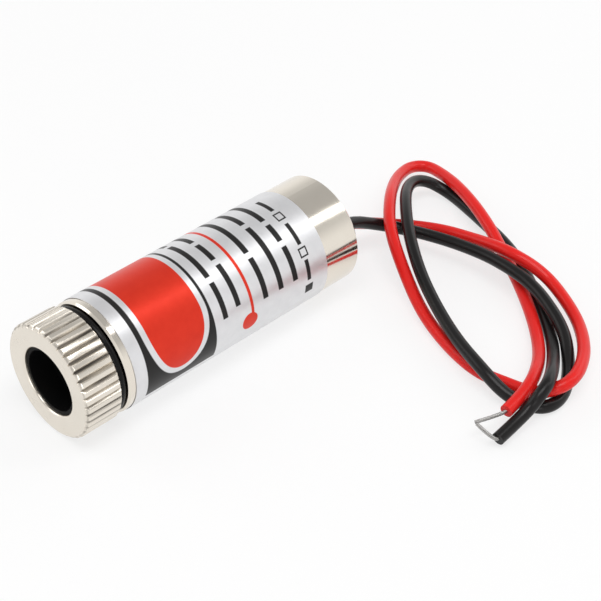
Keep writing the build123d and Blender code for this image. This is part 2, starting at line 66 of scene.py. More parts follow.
# %% Axis, stations and radii
MM = 0.001
head_low, head_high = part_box("focus_head")
barrel_low, barrel_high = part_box("barrel")
label_low, label_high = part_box("foil_label")
plug_low, plug_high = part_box("rear_plug")
spring_low, spring_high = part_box("focus_spring")
AXIS_HEIGHT = (head_low.z + head_high.z) / 2
MIDDLE = Vector((0, 0, AXIS_HEIGHT))
FRONT = head_low.y
KNURL_RADIUS = (head_high.z - head_low.z) / 2
BARREL_RADIUS = (barrel_high.z - barrel_low.z) / 2
LABEL_RADIUS = (label_high.z - label_low.z) / 2
PLUG_RADIUS = (plug_high.z - plug_low.z) / 2


def station(distance):
    """The Y of a place that lies this far behind the front face."""
    return FRONT + distance


def on_axis(y, radius, angle):
    """A point at this Y, radius and angle: 0 points along +X and a quarter turn points up."""
    return Vector((radius * math.cos(angle), y, AXIS_HEIGHT + radius * math.sin(angle)))


print("axis %.2f mm above the floor, barrel %.2f mm across" % (AXIS_HEIGHT / MM, 2 * BARREL_RADIUS / MM))

# %% [markdown]
# ## Camera
# The photograph looks down on the module from its front right. A long lens keeps the barrel nearly
# parallel. The place and the angles were found by matching the barrel's two ends and its rims, and
# the lens follows from the picture's width.

# %% Camera
CAMERA_PLACE = Vector((99.58, -81.44, 107.67)) * MM
CAMERA_AZIMUTH = math.radians(45.82)
CAMERA_ELEVATION = math.radians(38.41)
CAMERA_LENS = 97.61
look = Vector((
    -math.sin(CAMERA_AZIMUTH) * math.cos(CAMERA_ELEVATION),
    math.cos(CAMERA_AZIMUTH) * math.cos(CAMERA_ELEVATION),
    -math.sin(CAMERA_ELEVATION),
))
camera_data = bpy.data.cameras.new("camera")
camera_data.lens = CAMERA_LENS
camera_data.clip_start = MM
camera = bpy.data.objects.new("camera", camera_data)
camera.location = CAMERA_PLACE
camera.rotation_mode = "QUATERNION"
camera.rotation_quaternion = look.to_track_quat("-Z", "Y")
bpy.context.scene.collection.objects.link(camera)
bpy.context.scene.camera = camera
print("camera %.0f mm from the middle of the module" % ((CAMERA_PLACE - MIDDLE).length / MM))

# %% [markdown]
# ## Shader maths as Python
# A finish is a formula: turning marks are noise along the axis, a printed band is a step along it.
# Wiring such formulas by hand takes a node for each plus sign. A small class can hold one output
# socket and add the Math node whenever Python meets an operator, so that a formula reads as one.
# Every other node comes from one method, which takes the node's type, its settings and its sockets.


# %% A socket that does arithmetic
class Value:
    """One output of a material's nodes. Operators on it add Math nodes to the same material."""

    def __init__(self, tree, socket=None):
        self.tree = tree
        self.socket = socket

    def node(self, kind, settings, sockets, output=0):
        """Add a node of any type: its settings first, then the values or links of its sockets."""
        made = self.tree.nodes.new(kind)
        for name, setting in settings.items():
            setattr(made, name, setting)
        for name, value in sockets.items():
            if isinstance(value, Value):
                self.tree.links.new(value.socket, made.inputs[name])
            else:
                made.inputs[name].default_value = value
        return Value(self.tree, made.outputs[output] if made.outputs else None)

    def out(self, name):
        """Another output of the node that this value comes from."""
        return Value(self.tree, self.socket.node.outputs[name])

    def math(self, operation, first, second=0.0):
        """Add a Math node. Some operations only look at the first value."""
        return self.node("ShaderNodeMath", {"operation": operation}, {0: first, 1: second})

    def __add__(self, other):
        return self.math("ADD", self, other)

    def __radd__(self, other):
        return self.math("ADD", other, self)

    def __sub__(self, other):
        return self.math("SUBTRACT", self, other)

    def __rsub__(self, other):
        return self.math("SUBTRACT", other, self)

    def __mul__(self, other):
        return self.math("MULTIPLY", self, other)

    def __rmul__(self, other):
        return self.math("MULTIPLY", other, self)

    def __truediv__(self, other):
        return self.math("DIVIDE", self, other)

    def __rtruediv__(self, other):
        return self.math("DIVIDE", other, self)


print("reflected operators:", [name for name in vars(Value) if name.startswith("__r")])

# %% [markdown]
# ## Words that finishes share
# Most finishes need the same few things: where a point lies round the axis, a soft step, a blend of
# two colours, noise at a given size, a number that wavers with it, and a bump. Each is a short
# function on top of the class.


# %% Shared shader words
def new_material(name):
    """An empty material and a value to start its formulas from."""
    material = bpy.data.materials.new(name)
    material.use_nodes = True
    material.node_tree.nodes.clear()
    return material, Value(material.node_tree)


def close(start, sockets):
    """Finish a material: one Principled shader with these sockets on the material's output."""
    shader = start.node("ShaderNodeBsdfPrincipled", {}, sockets)
    start.node("ShaderNodeOutputMaterial", {}, {"Surface": shader})


def place(start):
    """The point's own coordinates, in metres, which ride with its body."""
    return start.node("ShaderNodeTexCoord", {}, {}, "Object")


def round_axis(start):
    """Station behind the front face, radius and angle of a point round the optical axis."""
    split = start.node("ShaderNodeSeparateXYZ", {}, {0: place(start)})
    across = split.out("X")
    along = split.out("Y") - FRONT
    up = split.out("Z") - AXIS_HEIGHT
    radius = start.math("SQRT", across * across + up * up)
    return along, radius, start.math("ARCTAN2", up, across)


def step(value, edge, soft):
    """0 below the edge and 1 above it, with a soft change of this half width."""
    return value.node(
        "ShaderNodeMapRange",
        {"interpolation_type": "SMOOTHSTEP"},
        {"Value": value, "From Min": edge - soft, "From Max": edge + soft},
    )


def between(value, low, high, soft):
    """1 between two edges and 0 outside them."""
    return step(value, low, soft) * (1 - step(value, high, soft))


def blend_colour(share, first, second):
    """The first colour where share is 0, the second where it is 1."""
    return share.node("ShaderNodeMix", {"data_type": "RGBA"}, {0: share, 6: first, 7: second}, 2)


def speckle(start, size, detail=3.0, vector=None):
    """Soft noise from 0 to 1 whose blotches are about this big."""
    where = vector or place(start)
    return start.node("ShaderNodeTexNoise", {}, {"Vector": where, "Scale": 1 / size, "Detail": detail})


def sway(middle, spread, noise_value):
    """A number that wavers about a middle as a noise from 0 to 1 does."""
    return middle + spread * (noise_value - 0.5)


def bump(height, distance):
    """A normal that follows a height from 0 to 1, which stands for this many metres."""
    return height.node("ShaderNodeBump", {}, {"Height": height, "Distance": distance, "Strength": 1.0})


print("shared words ready")

# %% [markdown]
# ## Nickel plate
# The barrel and the head are turned brass with bright nickel on top. Nickel is a warm grey mirror
# that shows the lathe's fine grooves. The grooves run round the axis, so their height is noise that
# only changes with the station, or with the radius on a flat face. A noise of both gives every
# turned surface its marks, and a soft blotch of roughness keeps the plate from looking computed. The
# roots of the knurl get painted shade, more in some grooves than in others: there a noise that is
# stretched along the axis turns the plate dark and dull.


# %% Nickel plate
NICKEL_LIGHT = (0.82, 0.765, 0.68, 1)
NICKEL_DARK = (0.76, 0.705, 0.62, 1)
NICKEL_CLOUDS = 2.5 * MM
CLOUD_DULLNESS = 0.10
TURNING_MARKS = 0.12 * MM
MARK_DULLNESS = 0.06
KNURL_LENGTH = 4.2 * MM
# Painted shade in the knurl's roots: a dark, dull, less metallic tone that is patchy from groove to groove
ROOT_SHADE_TONE = (0.07, 0.058, 0.048, 1)
ROOT_SHADE_SHARE = 0.9
ROOT_SHADE_DULLNESS = 0.25
ROOT_SHADE_COVER = 0.6
ROOT_SHADE_LEVEL = 0.45
ROOT_SHADE_SOFTNESS = 0.22
ROOT_SHADE_SIZE = 0.7 * MM
ROOT_SHADE_SQUEEZE = (1.0, 0.12, 1.0)
ROOT_SHADE_TOP = KNURL_RADIUS - 0.13 * MM
ROOT_SHADE_BOTTOM = KNURL_RADIUS - 0.8 * MM
ROOT_SHADE_FADE = 0.09 * MM
ROOT_SHADE_END_FADE = 0.12 * MM


def knurl_root_shade(start, along, radius):
    """How much painted shade a point gets: in the knurl's roots, and less or more in each groove."""
    squeeze = {"operation": "MULTIPLY"}
    streaks = start.node("ShaderNodeVectorMath", squeeze, {0: place(start), 1: ROOT_SHADE_SQUEEZE})
    patches = speckle(start, ROOT_SHADE_SIZE, detail=2.0, vector=streaks)
    roots = between(radius, ROOT_SHADE_BOTTOM, ROOT_SHADE_TOP, ROOT_SHADE_FADE)
    knurl = between(along, ROOT_SHADE_END_FADE, KNURL_LENGTH, ROOT_SHADE_END_FADE)
    return roots * knurl * step(patches, ROOT_SHADE_LEVEL, ROOT_SHADE_SOFTNESS) * ROOT_SHADE_SHARE


def nickel(name, roughness, mark_depth, painted_root_shade):
    """Turned and plated metal, with painted shade in the roots of its knurl where it has one."""
    material, start = new_material(name)
    along, radius, _ = round_axis(start)
    rings = start.node("ShaderNodeCombineXYZ", {}, {"X": along, "Y": radius, "Z": 0.0})
    marks = speckle(start, TURNING_MARKS, detail=4.0, vector=rings)
    clouds = speckle(start, NICKEL_CLOUDS)
    tone = blend_colour(clouds, NICKEL_LIGHT, NICKEL_DARK)
    dullness = sway(sway(roughness, CLOUD_DULLNESS, clouds), MARK_DULLNESS, marks)
    metal = 1.0
    if painted_root_shade:
        # Painted shade darkens and dulls the knurl's roots
        root_shade = knurl_root_shade(start, along, radius)
        tone = blend_colour(root_shade, tone, ROOT_SHADE_TONE)
        dullness = dullness + ROOT_SHADE_DULLNESS * root_shade
        metal = 1.0 - ROOT_SHADE_COVER * root_shade
    close(start, {
        "Base Color": tone,
        "Metallic": metal,
        "Roughness": dullness,
        "Normal": bump(marks, mark_depth),
    })
    return material


NICKEL_BRIGHT = nickel("nickel_bright", 0.13, 0.0008 * MM, painted_root_shade=False)
# The head's satin nickel carries the painted shade in its knurl's roots
NICKEL_SATIN = nickel("nickel_satin", 0.26, 0.003 * MM, painted_root_shade=True)
print("nickel plate, bright for the barrel and satin for the head")

# %% [markdown]
# ## Foil label
# The label is silver foil with flat fields of ink: a dark band with a red field in it, a fine red
# line with a dot at its end, and rows of short bars. It could be drawn as an image, but a formula
# stays sharp at any distance. Round the barrel a place is a station and a length of arc, so each
# field is a step in one times a step in the other. The dark ink hides the foil, and the red one lets
# part of its metal shine through.

# %% Sizes and tones of the print
FOIL_LIGHT = (0.80, 0.80, 0.81, 1)
FOIL_DARK = (0.70, 0.70, 0.715, 1)
FOIL_METAL = 0.75
FOIL_DULLNESS = 0.34
FOIL_GRAIN = 0.9 * MM
FOIL_FINE_GRAIN = 0.05 * MM
FOIL_DEPTH = 0.012 * MM
DARK_INK = (0.012, 0.011, 0.011, 1)
RED_INK_LIGHT = (0.76, 0.042, 0.018, 1)
RED_INK_DARK = (0.68, 0.030, 0.013, 1)
RED_INK_METAL = 0.45
INK_EDGE = 0.035 * MM
INK_EDGE_ANGLE = 0.006
SEAM_ANGLE = -2.2
SEAM_EDGE = 0.0001
BAND_START = 7.3 * MM
BAND_END = 16.05 * MM
PRINT_LOW = math.radians(-27)
PRINT_HIGH = math.radians(193)
RED_MIDDLE = 11.8 * MM
RED_HALF_WIDTH = 3.3 * MM
RED_LOW = math.radians(-11)
RED_HIGH = math.radians(177)
RED_END = 5.4 * MM
BORDER = 0.62 * MM
LINE_STATION = 20.9 * MM
LINE_WIDTH = 0.36 * MM
DOT_STATION = 20.5 * MM
DOT_ANGLE = math.radians(-5.5)
DOT_RADIUS = 1.0 * MM
# Rows of bars: station, height, and where each bar starts and ends, in degrees
BAR_ROWS = [
    (17.45 * MM, 0.62 * MM, [(13, 50), (56, 112), (118, 170)]),
    (19.25 * MM, 0.62 * MM, [(18, 62), (68, 92), (98, 160)]),
    (22.75 * MM, 0.66 * MM, [(10, 52), (58, 130), (136, 158)]),
    (24.85 * MM, 0.66 * MM, [(10, 80), (86, 126)]),
    (26.85 * MM, 0.66 * MM, [(10, 46), (52, 72), (78, 130)]),
    (28.70 * MM, 0.50 * MM, [(2, 24), (40, 64), (83, 106)]),
]
SQUARE_STATION = 28.70 * MM
SQUARE_SIZE = 1.05 * MM
SQUARE_LINE = 0.17 * MM
FILLED_SQUARE = -8
OPEN_SQUARES = (32, 74)
print("print on the label:", len(BAR_ROWS), "rows of bars,", 1 + len(OPEN_SQUARES), "small squares")


# %% The label's finish
def oval(along, arc, grow):
    """Distance in an oblong with long rounded ends: under 1 inside, 1 on its edge."""
    middle = LABEL_RADIUS * (RED_LOW + RED_HIGH) / 2
    half = LABEL_RADIUS * (RED_HIGH - RED_LOW) / 2
    past = along.math("MAXIMUM", along.math("ABSOLUTE", arc - middle) - (half - RED_END), 0.0)
    across = (along - RED_MIDDLE) / (RED_HALF_WIDTH + grow)
    lengthwise = past / (RED_END + grow)
    return along.math("SQRT", across * across + lengthwise * lengthwise)


def inside(distance):
    """1 inside the oblong and 0 outside it."""
    return 1 - step(distance, 1.0, INK_EDGE / RED_HALF_WIDTH)


def arc_at(degrees):
    """The length of arc round the label at an angle."""
    return LABEL_RADIUS * math.radians(degrees)


def bar_row(along, arc, row, height, bars):
    """One row of bars at a station."""
    level = between(along, row - height / 2, row + height / 2, INK_EDGE)
    return level * sum(between(arc, arc_at(low), arc_at(high), INK_EDGE) for low, high in bars)


def small_square(along, arc, degrees, filled):
    """A small square on the last row, filled or drawn as a line."""
    aside = along.math("ABSOLUTE", along - SQUARE_STATION)
    around = along.math("ABSOLUTE", arc - arc_at(degrees))
    reach = along.math("MAXIMUM", aside, around)
    square = 1 - step(reach, SQUARE_SIZE / 2, INK_EDGE)
    if filled:
        return square
    return square * step(reach, SQUARE_SIZE / 2 - SQUARE_LINE, INK_EDGE)


def print_bars(along, arc):
    """All the bars and the small squares, as one mask."""
    rows = [bar_row(along, arc, *row) for row in BAR_ROWS]
    squares = [small_square(along, arc, degrees, filled=False) for degrees in OPEN_SQUARES]
    return sum(rows + squares) + small_square(along, arc, FILLED_SQUARE, filled=True)


def foil():
    """Silver foil with its print. Angles are counted on from the seam, which is on the hidden side."""
    material, start = new_material("label_foil")
    along, _, turn = round_axis(start)
    behind = 1 - step(turn, SEAM_ANGLE, SEAM_EDGE)
    angle = turn + behind * (2 * math.pi)
    arc = angle * LABEL_RADIUS
    grain = speckle(start, FOIL_GRAIN)
    fine = speckle(start, FOIL_FINE_GRAIN, detail=2.0)
    silver = blend_colour(grain, FOIL_LIGHT, FOIL_DARK)
    printed = between(angle, PRINT_LOW, PRINT_HIGH, INK_EDGE_ANGLE)
    band = between(along, BAND_START, BAND_END, INK_EDGE) * printed
    border = inside(oval(along, arc, BORDER)) * band
    red_field = inside(oval(along, arc, 0.0)) * band
    line = between(along, LINE_STATION - LINE_WIDTH / 2, LINE_STATION + LINE_WIDTH / 2, INK_EDGE)
    line = line * between(angle, DOT_ANGLE, PRINT_HIGH, INK_EDGE_ANGLE)
    dot_along = along - DOT_STATION
    dot_arc = arc - DOT_ANGLE * LABEL_RADIUS
    dot_distance = start.math("SQRT", dot_along * dot_along + dot_arc * dot_arc)
    dot = 1 - step(dot_distance, DOT_RADIUS, INK_EDGE)
    dark = start.math("MINIMUM", band - border + print_bars(along, arc), 1.0)
    red = start.math("MINIMUM", red_field + line + dot, 1.0)
    ink = start.math("MINIMUM", dark + red, 1.0)
    colour = blend_colour(dark, silver, DARK_INK)
    colour = blend_colour(red, colour, blend_colour(grain, RED_INK_LIGHT, RED_INK_DARK))
    close(start, {
        "Base Color": colour,
        "Metallic": FOIL_METAL * (1 - ink) + RED_INK_METAL * red,
        "Roughness": sway(FOIL_DULLNESS, 0.06, fine) + 0.02 * ink,
        "Specular IOR Level": 0.2,
        "Coat Weight": 0.05,
        "Coat Roughness": 0.16,
        "Normal": bump(grain * 0.7 + fine * 0.05 + ink * 0.1, FOIL_DEPTH),
    })
    return material


LABEL_FOIL = foil()
print("label foil with", len(LABEL_FOIL.node_tree.nodes), "nodes")

# %% [markdown]
# ## Plain finishes
# Rubber, moulded black parts, glass, brass, gilt, laminate, ceramic and solder are each one tone
# with a little life in it. One function takes the tone, the roughness and the size of the grain.


# %% Plain finishes
CLOUDS_TO_GRAIN = 6
GLASS_HAZE = 3 * MM
GLASS_INDEX = 1.52


def plain(name, light, dark, roughness, grain_size, grain_depth, metallic=0.0, specular=0.5):
    """Two close tones in soft clouds, and a fine grain."""
    material, start = new_material(name)
    clouds = speckle(start, grain_size * CLOUDS_TO_GRAIN)
    grain = speckle(start, grain_size)
    close(start, {
        "Base Color": blend_colour(clouds, (*light, 1), (*dark, 1)),
        "Metallic": metallic,
        "Roughness": sway(roughness, 0.12, clouds),
        "Specular IOR Level": specular,
        "Normal": bump(grain, grain_depth),
    })
    return material


def glass(name, tint):
    """Polished glass with a trace of haze."""
    material, start = new_material(name)
    clouds = speckle(start, GLASS_HAZE)
    close(start, {
        "Base Color": (*tint, 1),
        "Roughness": 0.01 + 0.02 * clouds,
        "Transmission Weight": 1.0,
        "IOR": GLASS_INDEX,
    })
    return material


RUBBER = plain(
    "ring_rubber", (0.006, 0.005, 0.005), (0.003, 0.003, 0.003), 0.28, 0.05 * MM, 0.002 * MM,
    specular=0.15,
)
BLACK_MOULDING = plain(
    "black_moulding", (0.004, 0.004, 0.004), (0.002, 0.002, 0.002), 0.55, 0.04 * MM, 0.002 * MM,
    specular=0.08,
)
POTTING = plain(
    "potting", (0.012, 0.012, 0.013), (0.007, 0.007, 0.007), 0.30, 0.5 * MM, 0.02 * MM,
    specular=0.35,
)
SPRING_STEEL = plain(
    "spring_steel", (0.56, 0.56, 0.57), (0.46, 0.46, 0.47), 0.28, 0.05 * MM, 0.001 * MM,
    metallic=1.0,
)
BRASS = plain("brass", (0.78, 0.57, 0.26), (0.66, 0.46, 0.19), 0.3, 0.1 * MM, 0.002 * MM, metallic=1.0)
GILT = plain("gilt", (0.92, 0.70, 0.30), (0.82, 0.60, 0.24), 0.22, 0.1 * MM, 0.001 * MM, metallic=1.0)
LAMINATE = plain("laminate", (0.02, 0.16, 0.06), (0.015, 0.12, 0.045), 0.4, 0.15 * MM, 0.004 * MM)
CERAMIC = plain("chip_ceramic", (0.36, 0.27, 0.19), (0.28, 0.21, 0.15), 0.5, 0.05 * MM, 0.002 * MM)
TINNED = plain("tinned", (0.45, 0.44, 0.43), (0.32, 0.31, 0.30), 0.30, 0.06 * MM, 0.002 * MM, metallic=1.0)
CLEAR_GLASS = glass("clear_glass", (0.96, 0.97, 0.96))
SEAL_GLASS = glass("seal_glass", (0.55, 0.62, 0.60))
print("plain finishes:", len(bpy.data.materials), "materials so far")

# %% [markdown]
# ## Insulation
# Hook-up wire has an extruded skin of soft vinyl: glossy, evenly coloured, with a very fine grain and
# a slight haze. The gloss makes the bright streak that follows each bend.


# %% Insulation
SKIN_CLOUDS = 1.6 * MM
SKIN_GRAIN = 0.12 * MM
SKIN_DEPTH = 0.004 * MM


def insulation(name, light, dark, roughness):
    """Soft glossy vinyl under a thin clear skin."""
    material, start = new_material(name)
    clouds = speckle(start, SKIN_CLOUDS)
    skin = speckle(start, SKIN_GRAIN)
    close(start, {
        "Base Color": blend_colour(clouds, (*light, 1), (*dark, 1)),
        "Roughness": sway(roughness, 0.10, clouds),
        "Specular IOR Level": 0.22,
        "Coat Weight": 0.06,
        "Coat Roughness": 0.12,
        "Normal": bump(skin, SKIN_DEPTH),
    })
    return material


RED_SKIN = insulation("red_insulation", (0.80, 0.018, 0.014), (0.72, 0.012, 0.010), 0.30)
BLACK_SKIN = insulation("black_insulation", (0.010, 0.009, 0.009), (0.006, 0.005, 0.005), 0.30)
print("insulation in red and black")

# %% [markdown]
# ## Pieces that stay as they are
# The barrel, the label, the lens and everything inside have the right shape already. They keep their
# solids and get smooth shading: facets under 35 degrees melt into a round surface, and real edges
# stay sharp.

# %% Dress the solids
SOFT_ANGLE = math.radians(35)
DRESS = {
    "barrel": NICKEL_BRIGHT,
    "foil_label": LABEL_FOIL,
    "lens_cell": BLACK_MOULDING,
    "collimating_lens": CLEAR_GLASS,
    "lens_retaining_ring": BLACK_MOULDING,
    "diode_holder": BRASS,
    "diode_stem": GILT,
    "diode_cap": GILT,
    "diode_window": CLEAR_GLASS,
    "diode_chip": GILT,
    "diode_pins": GILT,
    "pin_seals": SEAL_GLASS,
    "driver_board": LAMINATE,
    "driver_transistors": BLACK_MOULDING,
    "driver_resistors": CERAMIC,
    "driver_capacitor": CERAMIC,
    "solder_joints": TINNED,
    "lead_roots": TINNED,
}


def dress(piece, material):
    """Give a piece one material and smooth shading with sharp edges past an angle."""
    piece.data.materials.clear()
    piece.data.materials.append(material)
    piece.data.shade_smooth()
    piece.data.set_sharp_from_angle(angle=SOFT_ANGLE)


for node_name, material in DRESS.items():
    dress(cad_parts[node_name], material)
print("dressed", len(DRESS), "solids")

# %% [markdown]
# ## Surfaces of revolution
# Lathe work is a profile turned round the axis. Blender's Screw modifier could do it, but here the
# radius may also change with the angle, for a knurl or a thread. So the surface is a grid: one ring
# for each profile point, one column for each angle, and a function that says where each point lies.


# %% Ring grids
def new_piece(name, mesh_builder, material, body):
    """Make an object from a filled bmesh, give it its finish and let it ride on a body."""
    mesh = bpy.data.meshes.new(name)
    bmesh.ops.recalc_face_normals(mesh_builder, faces=mesh_builder.faces)
    mesh_builder.to_mesh(mesh)
    mesh_builder.free()
    piece = bpy.data.objects.new(name, mesh)
    bpy.context.scene.collection.objects.link(piece)
    dress(piece, material)
    if body:
        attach(piece, body)
    return piece


def ring_grid(builder, rings, columns, point, closed=False):
    """Faces between neighbouring rings of points. A closed grid joins its last ring to its first."""
    grid = [[builder.verts.new(point(i, j)) for j in range(columns)] for i in range(rings)]
    pairs = list(zip(grid, grid[1:]))
    if closed:
        pairs.append((grid[-1], grid[0]))
    for first, second in pairs:
        for j in range(columns):
            k = (j + 1) % columns
            builder.faces.new((first[j], first[k], second[k], second[j]))
    return grid


print("ring grids ready")

# %% [markdown]
# ## Focusing head
# The head is one turned piece: a face with the aperture, a knurled rim that fingers grip, a spigot
# for the rubber ring and a neck with a fine thread. The knurl is rolled in, so its V-shaped grooves
# have rounded shoulders. Every ring takes the smaller of its own radius and the groove's radius at
# that angle, which cuts the grooves through rim and chamfers alike. The thread is a triangle wave
# that climbs one pitch in each turn.

# %% Focusing head
HEAD_CHAMFER = 0.3 * MM
FACE_STEPS = 6
EDGE_ROUND = 0.06 * MM
APERTURE_RADIUS = 3.65 * MM
APERTURE_CHAMFER = 0.15 * MM
SPIGOT_RADIUS = 4.88 * MM
SPIGOT_END = 5.08 * MM
NECK_RADIUS = 4.45 * MM
NECK_END = 11.0 * MM
KNURL_TEETH = 40
KNURL_DEPTH = 0.36 * MM
KNURL_GROOVE = 0.5 * MM
SHOULDER = 0.035 * MM
THREAD_PITCH = 0.5 * MM
THREAD_DEPTH = 0.26 * MM
THREAD_STEPS = 8
TOOTH_COLUMNS = 18
head_columns = KNURL_TEETH * TOOTH_COLUMNS


def groove_radius(angle):
    """How far out the knurl leaves metal at this angle: a V with rounded shoulders and root."""
    pitch = 2 * math.pi / KNURL_TEETH
    offset = abs((angle + pitch / 2) % pitch - pitch / 2)
    from_groove = (pitch / 2 - offset) * KNURL_RADIUS
    depth = KNURL_DEPTH * (1 - from_groove / (KNURL_GROOVE / 2))
    rounded = (depth + math.sqrt(depth * depth + SHOULDER * SHOULDER)) / 2
    return KNURL_RADIUS - rounded


def thread_radius(along, angle):
    """The neck's radius: crests and roots that climb one pitch in a turn, fading at both ends."""
    wave = ((along / THREAD_PITCH) - angle / (2 * math.pi)) % 1.0
    height = abs(2 * wave - 1)
    fade = min(1.0, (along - SPIGOT_END) / THREAD_PITCH, (NECK_END - along) / THREAD_PITCH)
    return NECK_RADIUS - THREAD_DEPTH * (1 - height) * max(0.0, fade)


def head_profile():
    """Station and radius of each ring, from the aperture's rim forward, out, back and in again."""
    inner = APERTURE_RADIUS + APERTURE_CHAMFER
    face = KNURL_RADIUS - HEAD_CHAMFER
    rear_chamfer = HEAD_CHAMFER / 2
    rings = [
        (NECK_END, APERTURE_RADIUS),
        (APERTURE_CHAMFER + EDGE_ROUND, APERTURE_RADIUS),
        (APERTURE_CHAMFER, APERTURE_RADIUS + EDGE_ROUND / 3),
        (EDGE_ROUND / 3, inner),
        (0.0, inner + EDGE_ROUND),
    ]
    for k in range(1, FACE_STEPS):
        rings.append((0.0, inner + (face - inner) * k / FACE_STEPS))
    rings += [
        (0.0, face - EDGE_ROUND),
        (EDGE_ROUND / 3, face),
        (HEAD_CHAMFER / 2, KNURL_RADIUS - HEAD_CHAMFER / 2),
        (HEAD_CHAMFER, KNURL_RADIUS - EDGE_ROUND / 3),
        (HEAD_CHAMFER + EDGE_ROUND, KNURL_RADIUS),
        (KNURL_LENGTH / 2, KNURL_RADIUS),
        (KNURL_LENGTH - rear_chamfer - EDGE_ROUND, KNURL_RADIUS),
        (KNURL_LENGTH - rear_chamfer, KNURL_RADIUS - EDGE_ROUND / 3),
        (KNURL_LENGTH - EDGE_ROUND / 3, KNURL_RADIUS - rear_chamfer),
        (KNURL_LENGTH, KNURL_RADIUS - rear_chamfer - EDGE_ROUND),
        (KNURL_LENGTH, SPIGOT_RADIUS),
        (SPIGOT_END - EDGE_ROUND, SPIGOT_RADIUS),
        (SPIGOT_END, SPIGOT_RADIUS - EDGE_ROUND),
    ]
    return rings


def focusing_head():
    """The whole head as one closed grid: the profile's rings, then the rings of the threaded neck."""
    rings = head_profile()
    neck_rings = int((NECK_END - SPIGOT_END) / THREAD_PITCH * THREAD_STEPS)
    plain_rings = len(rings)

    def point(i, j):
        angle = 2 * math.pi * j / head_columns
        if i < plain_rings:
            along, radius = rings[i]
            return on_axis(station(along), min(radius, groove_radius(angle)), angle)
        along = SPIGOT_END + (NECK_END - SPIGOT_END) * (i - plain_rings) / (neck_rings - 1)
        return on_axis(station(along), thread_radius(along, angle), angle)

    builder = bmesh.new()
    ring_grid(builder, plain_rings + neck_rings, head_columns, point, closed=True)
    piece = new_piece("focusing_head", builder, NICKEL_SATIN, "focus_assembly")
    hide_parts("focus_head")
    return piece


head = focusing_head()
print("focusing head:", len(head.data.polygons), "faces,", KNURL_TEETH, "teeth")

# %% [markdown]
# ## Rubber ring
# An O-ring is a torus that sits between the head and the barrel. The solid has a few flats for its
# section, so here a ring grid makes it round.

# %% Rubber ring
RING_RADIUS = 5.34 * MM
RING_SECTION = 0.43 * MM
RING_STATION = 4.65 * MM
RING_COLUMNS = 160
RING_STEPS = 24


def rubber_ring():
    """A torus on the head's spigot."""

    def point(i, j):
        round_section = 2 * math.pi * i / RING_STEPS
        angle = 2 * math.pi * j / RING_COLUMNS
        along = RING_STATION + RING_SECTION * math.cos(round_section)
        return on_axis(station(along), RING_RADIUS + RING_SECTION * math.sin(round_section), angle)

    builder = bmesh.new()
    ring_grid(builder, RING_STEPS, RING_COLUMNS, point, closed=True)
    piece = new_piece("rubber_ring", builder, RUBBER, "focus_assembly")
    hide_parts("focus_o_ring")
    return piece


ring = rubber_ring()
print("rubber ring:", len(ring.data.polygons), "faces")

# %% [markdown]
# ## Leads
# Each lead is one length of thin hook-up wire. It leaves the potting straight, drops to the table,
# goes once round in a loose loop and ends in front of it. A smooth NURBS curve along listed
# control points gives that line, and the curve's round bevel gives the wire its thickness.

# %% Routes
LEAD_RADIUS = 0.675 * MM
REAR = barrel_high.y
RED_START = Vector((-0.65, 12.6, 5.135)) * MM
BLACK_START = Vector((0.65, 12.6, 6.075)) * MM
LEAD_STRAIGHT = 2.4 * MM
# The way over the table: x, distance behind the barrel's rear face, height, in millimetres
RED_WAY = [
    (0.0, 10.1, 1.5), (5.0, 13.7, 1.6), (10.1, 14.3, 2.4), (13.3, 14.0, 3.3), (15.9, 14.0, 3.5),
    (18.2, 14.7, 2.7), (20.8, 14.7, 1.8), (25.6, 12.5, 1.3), (29.4, 8.8, 1.9), (31.6, 5.1, 2.5),
    (32.1, 2.6, 2.6), (31.4, 1.2, 2.2), (29.9, 0.7, 1.1), (28.2, 0.4, 0.7), (26.6, 0.0, 0.7),
    (23.4, -0.8, 0.7), (18.4, 0.2, 0.7), (13.1, 2.2, 0.9), (8.2, 4.5, 2.7), (3.8, 7.0, 4.4),
    (-0.1, 11.2, 4.3), (-2.9, 14.9, 3.1), (-4.6, 17.7, 2.2), (-5.5, 20.6, 1.6), (-4.3, 22.4, 1.4),
    (-1.3, 21.7, 1.9), (1.8, 20.5, 2.5), (5.5, 18.9, 2.8), (9.2, 17.2, 2.6), (11.7, 16.1, 1.9),
    (14.3, 14.8, 1.3), (18.0, 12.5, 1.2), (22.4, 9.3, 1.0), (26.1, 5.8, 1.1), (29.1, 1.2, 2.6),
    (30.0, -2.0, 2.4), (30.2, -4.5, 2.2),
]
BLACK_WAY = [
    (1.1, 8.8, 2.6), (6.6, 11.6, 2.4), (12.4, 12.5, 2.8), (16.8, 12.2, 3.1), (19.4, 12.0, 2.9),
    (22.2, 11.2, 2.6), (26.2, 9.5, 1.8), (29.0, 6.9, 0.7), (31.2, 3.7, 0.7), (31.9, 1.4, 0.7),
    (31.4, -0.3, 0.7), (29.6, -1.2, 0.7), (27.5, -1.8, 1.3), (24.5, -1.6, 2.4), (20.2, -0.1, 2.3),
    (15.6, 2.1, 2.3), (10.6, 4.6, 3.2), (5.8, 7.9, 4.3), (1.4, 12.1, 4.2), (-1.3, 15.4, 3.2),
    (-2.3, 17.8, 2.5), (-1.8, 19.4, 1.9), (-0.6, 20.4, 1.1), (1.4, 20.6, 0.7), (4.7, 19.8, 0.7),
    (8.0, 18.9, 0.7), (11.3, 17.9, 0.7), (14.4, 16.5, 0.7), (17.6, 14.5, 0.7), (21.5, 11.8, 0.7),
    (25.2, 8.8, 0.7), (27.9, 5.7, 1.5), (31.1, 1.0, 3.7), (31.7, -1.1, 3.4), (31.3, -3.0, 1.5),
    (31.4, -7.0, 1.0),
]
RED_TIP_END = (28.8, -7.4, 1.7)
BLACK_TIP_END = (29.2, -7.6, 1.9)


